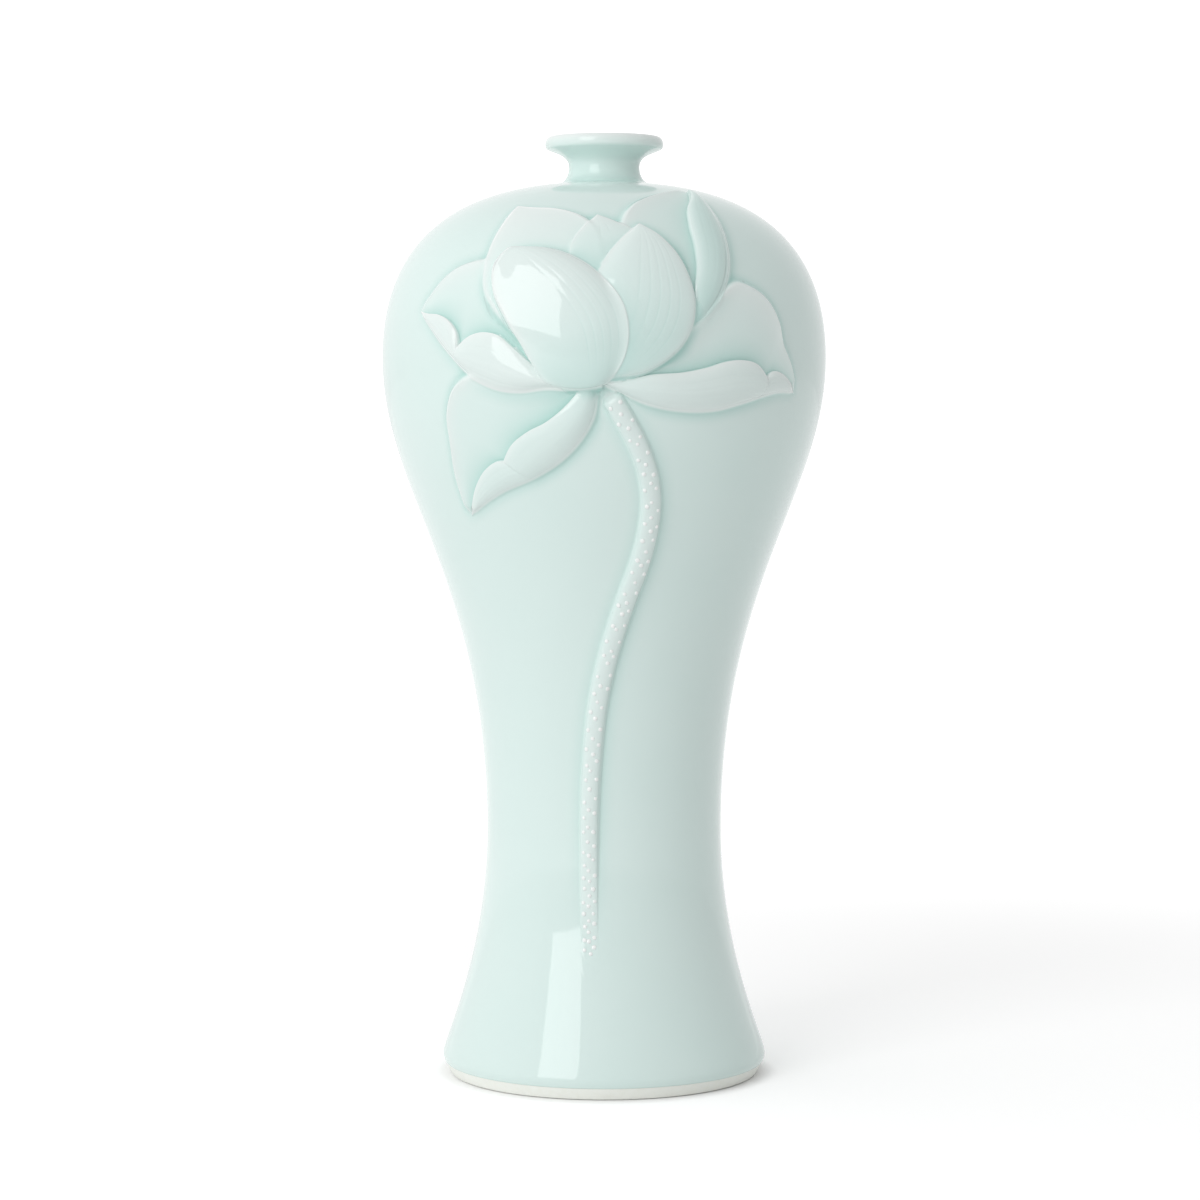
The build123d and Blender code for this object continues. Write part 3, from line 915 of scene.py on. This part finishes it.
def bare_porcelain(colours):
    """Bare fired porcelain on the foot ring: wiped clean of glaze, matte, cream and finely gritty.

    The real grit is finer, and is drawn as coarse as it needs to show.
    """
    grit_size, grit_depth, speck_size = 0.7 * MM, 0.06 * MM, 2.5 * MM
    material, tree = new_material("bare_porcelain_matte")
    spot = add_node(tree, "TexCoord", {}).outputs["Object"]
    grit = add_node(tree, "TexNoise", {"Vector": spot, "Scale": 1 / grit_size, "Detail": 3.0})
    specks = add_node(tree, "TexNoise", {"Vector": spot, "Scale": 1 / speck_size, "Detail": 2.0})
    shade = add_node(tree, "ValToRGB", {"Fac": specks})
    stops = ((0.3, colours.bare_speck), (0.55, colours.bare_clay))
    for element, (position, tint) in zip(shade.color_ramp.elements, stops):
        element.position = position
        element.color = [*tint, 1.0]
    rough = add_node(tree, "Bump", {"Height": grit, "Strength": 0.3, "Distance": grit_depth})
    skin = add_node(tree, "BsdfPrincipled",
                    {"Base Color": shade, "Roughness": 0.7, "IOR": 1.5, "Normal": rough})
    add_node(tree, "OutputMaterial", {"Surface": skin})
    return material


def seen_ray(tree):
    """1 for a ray from the camera, a reflection or a clear body, and 0 for one that only carries light."""
    rays = add_node(tree, "LightPath", {}).outputs
    direct = add_node(tree, "Math", {0: rays["Is Camera Ray"], 1: rays["Is Glossy Ray"]}, operation="ADD")
    return add_node(tree, "Math", {0: direct, 1: rays["Is Transmission Ray"]}, operation="ADD",
                    use_clamp=True)


def studio_floor(colours, glow):
    """Plain white paper under the vase, lifted towards white as seen.

    The lift is taken away in a ring where the foot meets it, which paints a darker contact shadow there.
    """
    contact, clear, near, far, far_gain = 0.061, 0.072, 0.3, 1.0, 1.6
    material, tree = new_material("studio_floor_paper")
    spot = add_node(tree, "TexCoord", {}).outputs["Object"]
    away = add_node(tree, "VectorMath", {0: spot}, operation="LENGTH").outputs["Value"]
    level = add_node(tree, "MapRange", {"Value": away, "From Min": near, "From Max": far, "To Min": glow,
                                        "To Max": far_gain * glow}, interpolation_type="SMOOTHSTEP")
    # Painted contact shadow: no lift close to the foot, full lift past it.
    contact_shadow_fade = add_node(tree, "MapRange", {"Value": away, "From Min": contact, "From Max": clear},
                          interpolation_type="SMOOTHSTEP")
    lift = add_node(tree, "Math", {0: seen_ray(tree), 1: level}, operation="MULTIPLY")
    lift = add_node(tree, "Math", {0: lift, 1: contact_shadow_fade}, operation="MULTIPLY")
    skin = add_node(tree, "BsdfPrincipled", {
        "Base Color": [*colours.floor, 1.0], "Roughness": 0.9, "Specular IOR Level": 0.0,
        "Emission Color": [1.0, 1.0, 1.0, 1.0], "Emission Strength": lift,
    })
    add_node(tree, "OutputMaterial", {"Surface": skin})
    return material


def studio_world(studio):
    """Soft light from all round, more of it from the left and above, and a white sweep as seen.

    The sweep mirrors less in the glaze towards the front, the left and above.
    """
    world = bpy.data.worlds.new("studio")
    world.use_nodes = True
    tree = world.node_tree
    tree.nodes.clear()
    way = add_node(tree, "TexCoord", {}).outputs["Generated"]
    axes = add_node(tree, "SeparateXYZ", {"Vector": way}).outputs
    rays = add_node(tree, "LightPath", {}).outputs
    tone = rays["Is Glossy Ray"]
    for axis, dim, full in (("Y", -4.5, 0.2), ("X", -1.6, 0.2), ("Z", 1.3, 0.1)):
        fade = add_node(tree, "MapRange", {"Value": axes[axis], "From Min": dim, "From Max": full},
                        interpolation_type="SMOOTHSTEP")
        tone = add_node(tree, "Math", {0: tone, 1: fade}, operation="MULTIPLY")
    tone = add_node(tree, "Math", {0: tone, 1: studio.sweep_light, 2: rays["Is Camera Ray"]},
                    operation="MULTIPLY_ADD")
    for more in (rays["Is Transmission Ray"], studio.room_light):
        tone = add_node(tree, "Math", {0: tone, 1: more}, operation="ADD")
    for axis, sign, light in (("X", -1, studio.left_light), ("Z", 1, studio.top_light)):
        side = add_node(tree, "Math", {0: axes[axis], 1: sign}, operation="MULTIPLY", use_clamp=True)
        tone = add_node(tree, "Math", {0: side, 1: light, 2: tone}, operation="MULTIPLY_ADD")
    sky = add_node(tree, "Background", {"Strength": tone, "Color": [1.0, 1.0, 1.0, 1.0]})
    add_node(tree, "OutputWorld", {"Surface": sky})
    return world


# Operators

FINISHES = {"celadon_glaze": celadon_glaze, "bare_porcelain": bare_porcelain}


def add_object(name, data):
    """Puts a mesh, a lamp or a camera in the scene."""
    thing = bpy.data.objects.new(name, data)
    bpy.context.scene.collection.objects.link(thing)
    return thing


def add_mesh(bm, name, material):
    """Puts a finished bmesh in the scene with its material."""
    mesh = bpy.data.meshes.new(name)
    bm.to_mesh(mesh)
    bm.free()
    mesh.materials.append(material)
    return add_object(name, mesh)


def add_piece(bm, node, slot="celadon_glaze"):
    """Finishes a piece that stands for a node of the frame."""
    for face in bm.faces:
        face.smooth = True
    piece = add_mesh(bm, f"{node}_finished", FINISHES[slot](bpy.context.scene.vase_colours))
    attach(piece, "root")
    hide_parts(node)
    return piece


class VASE_OT_foot_ring(Operator):
    """Turns the bare foot ring"""

    bl_idname = "vase.foot_ring"
    bl_label = "Foot ring"

    def execute(self, context):
        pot = context.scene.vase_pot
        chamfer = 0.8 * MM
        below, _ = cut_at(sampled(outer_spans(pot)["foot"], 24), pot.ring_height)
        outside = [point - at(pot.glaze_edge, 0) for point in below]
        section = [
            at(pot.foot_recess_radius + chamfer, 0),
            at(outside[0].x - chamfer, 0),
            *outside[1:],
            at(pot.foot_recess_radius, pot.ring_height),
            at(pot.foot_recess_radius, chamfer),
        ]
        add_piece(thrown(section), "foot_ring", "bare_porcelain")
        return {"FINISHED"}


class VASE_OT_body(Operator):
    """Turns the lower body, the middle body and the shoulder"""

    bl_idname = "vase.body"
    bl_label = "Body"

    def execute(self, context):
        pot = context.scene.vase_pot
        outer, inner = outer_spans(pot), inner_spans(pot)
        waist_seam = pot.waist_radius - pot.wall / 2
        belly_seam = pot.belly_radius - pot.wall / 2
        waist_foot = pot.waist_height - pot.lap_depth
        belly_foot = pot.belly_height - pot.lap_depth
        waist_lap = [at(waist_seam, pot.waist_height), at(waist_seam, waist_foot)]
        belly_lap = [at(belly_seam, pot.belly_height), at(belly_seam, belly_foot)]
        inner_skirt, inner_tongue = cut_at(sampled(inner["skirt"], 40), waist_foot)
        inner_body, inner_belly = cut_at(sampled(inner["body"], 60), belly_foot)
        _, flare = cut_at(sampled(outer["foot"], 24), pot.ring_height)
        edge = flare[0]
        roll = rounded(edge - at(2 * pot.glaze_edge, 0), edge, edge + at(0, pot.glaze_edge))
        rolled_edge = sampled(roll, 5)
        flare = [point for point in flare if point.z > rolled_edge[-1].z]
        sections = {
            "lower_body": [
                at(0, pot.ring_height),
                *rolled_edge,
                *flare[:-1],
                *guarded(sampled(outer["skirt"], 70)),
                *waist_lap,
                *inner_skirt[::-1],
                at(0, pot.floor_height),
            ],
            "middle_body": [
                *guarded(sampled(outer["body"], 110)),
                *belly_lap,
                *inner_body[::-1],
                *inner_tongue[-2::-1],
                *waist_lap[::-1],
            ],
            "shoulder": [
                *guarded(sampled(outer["shoulder"], 90)),
                at(pot.spigot_radius, pot.shoulder_height),
                *sampled(inner["shoulder"], 50)[::-1],
                *inner_belly[-2::-1],
                *belly_lap[::-1],
            ],
        }
        for node, section in sections.items():
            add_piece(thrown(section), node)
        return {"FINISHED"}


class VASE_OT_neck(Operator):
    """Turns the neck and the dished mouth"""

    bl_idname = "vase.neck"
    bl_label = "Neck and mouth"

    def execute(self, context):
        pot = context.scene.vase_pot
        outer, inner = outer_spans(pot), inner_spans(pot)
        bore_foot = pot.shoulder_height - pot.wall
        thin_run, thin_film = 3.0 * MM, -1.2
        # Greener round the neck's foot: pooled glaze, and painted shade in the crease where the neck meets
        # the shoulder.
        pooled_and_shaded_run, pooled_and_shaded_film = 2.5 * MM, 0.35
        bm = thrown([
            *guarded(sampled(outer["neck"], 24)),
            *sampled(outer["under_lip"], 24)[1:],
            *sampled(outer["lip"], 20)[1:],
            *sampled(inner["rim"], 7)[1:],
            *sampled(inner["dish"], 24)[1:],
            at(pot.bore_radius, bore_foot),
            at(pot.spigot_radius, bore_foot),
            at(pot.spigot_radius, pot.shoulder_height),
        ])
        thickness = bm.verts.layers.float.new("glaze")
        for vertex in bm.verts:
            thin = exp(-abs(vertex.co.z - pot.rim_height) / thin_run)
            pooled_and_shaded = exp(-abs(vertex.co.z - pot.shoulder_height) / pooled_and_shaded_run)
            vertex[thickness] = pooled_and_shaded_film * pooled_and_shaded + thin_film * thin
        add_piece(bm, "neck_and_mouth")
        return {"FINISHED"}


class VASE_OT_stem(Operator):
    """Carves the stem and lays its prickles"""

    bl_idname = "vase.stem"
    bl_label = "Stem and prickles"

    def execute(self, context):
        lotus = context.scene.vase_lotus
        wall = Wall(context.scene.vase_pot)
        stem = add_piece(flower_stem(wall, Behind(wall), lotus), "flower_stem")
        add_piece(stem_prickles(wall, stem, lotus), "stem_prickles")
        return {"FINISHED"}


class VASE_OT_petals(Operator):
    """Carves the eight petals, from the back of the flower to the front"""

    bl_idname = "vase.petals"
    bl_label = "Petals"

    def execute(self, context):
        lotus = context.scene.vase_lotus
        wall = Wall(context.scene.vase_pot)
        behind = Behind(wall, bpy.data.objects["flower_stem_finished"])
        for node in PETAL_ORDER:
            if node in CUPPED_PETALS:
                bm = cupped_petal(wall, behind, lotus, getattr(lotus, node), **CUPPED_PETALS[node])
            else:
                bm = open_petal(wall, behind, lotus, getattr(lotus, node), **OPEN_PETALS[node])
            behind.add(add_piece(bm, node))
        return {"FINISHED"}


class VASE_OT_stage(Operator):
    """Sets out the floor, the lights and the camera"""

    bl_idname = "vase.stage"
    bl_label = "Stage"

    def execute(self, context):
        scene = context.scene
        studio = scene.vase_studio
        floor_half = 4.0
        key_aim, key_distance = Vector((0.0, 0.0, 0.2)), 2.2
        key_turn, key_rise = radians(34), radians(25)
        key_width, key_height = 1.1, 1.6
        frame_width = 36.0
        bm = bmesh.new()
        bmesh.ops.create_grid(bm, x_segments=1, y_segments=1, size=floor_half)
        floor = add_mesh(bm, "studio_floor", studio_floor(scene.vase_colours, studio.floor_glow))

        key_way = Vector((-sin(key_turn) * cos(key_rise), -cos(key_turn) * cos(key_rise), sin(key_rise)))
        lamp = bpy.data.lights.new("key_soft_box", "AREA")
        lamp.shape = "RECTANGLE"
        lamp.size, lamp.size_y = key_width, key_height
        lamp.energy = studio.key_power
        key = add_object("key_soft_box", lamp)
        key.location = key_aim + key_way * key_distance
        key.rotation_euler = (-key_way).to_track_quat("-Z", "Y").to_euler()
        scene.world = studio_world(studio)

        lens = bpy.data.cameras.new("camera")
        lens.lens = studio.lens
        lens.sensor_width = frame_width
        scene.camera = add_object("camera", lens)
        scene.camera.location = (-studio.camera_aside, -studio.camera_distance, studio.camera_height)
        scene.camera.rotation_euler = (radians(90) - studio.camera_pitch, 0.0, 0.0)
        scene.view_settings.view_transform = "Standard"
        return {"FINISHED"}


class VASE_PT_sidebar(Panel):
    """Lists the steps that make the vase"""

    bl_idname = "VASE_PT_sidebar"
    bl_label = "Celadon lotus vase"
    bl_space_type = "VIEW_3D"
    bl_region_type = "UI"
    bl_category = "Vase"

    def draw(self, context):
        for step in STEPS:
            self.layout.operator(step.bl_idname)
        for settings in SETTINGS:
            box = self.layout.box()
            box.label(text=settings.__doc__)
            group = getattr(context.scene, SETTINGS[settings])
            for name in settings.__annotations__:
                box.prop(group, name)


STEPS = (VASE_OT_foot_ring, VASE_OT_body, VASE_OT_neck, VASE_OT_stem, VASE_OT_petals, VASE_OT_stage)
SETTINGS = {
    PotSizes: "vase_pot",
    LotusSizes: "vase_lotus",
    VaseColours: "vase_colours",
    StudioSettings: "vase_studio",
}


def register():
    for kind in (*SETTINGS, *STEPS, VASE_PT_sidebar):
        bpy.utils.register_class(kind)
    for settings, name in SETTINGS.items():
        setattr(bpy.types.Scene, name, PointerProperty(type=settings))


def unregister():
    for name in SETTINGS.values():
        delattr(bpy.types.Scene, name)
    for kind in (VASE_PT_sidebar, *reversed(STEPS), *reversed(SETTINGS)):
        bpy.utils.unregister_class(kind)


def main():
    register()
    bpy.ops.vase.foot_ring()
    bpy.ops.vase.body()
    bpy.ops.vase.neck()
    bpy.ops.vase.stem()
    bpy.ops.vase.petals()
    bpy.ops.vase.stage()


if __name__ == "__main__":
    main()
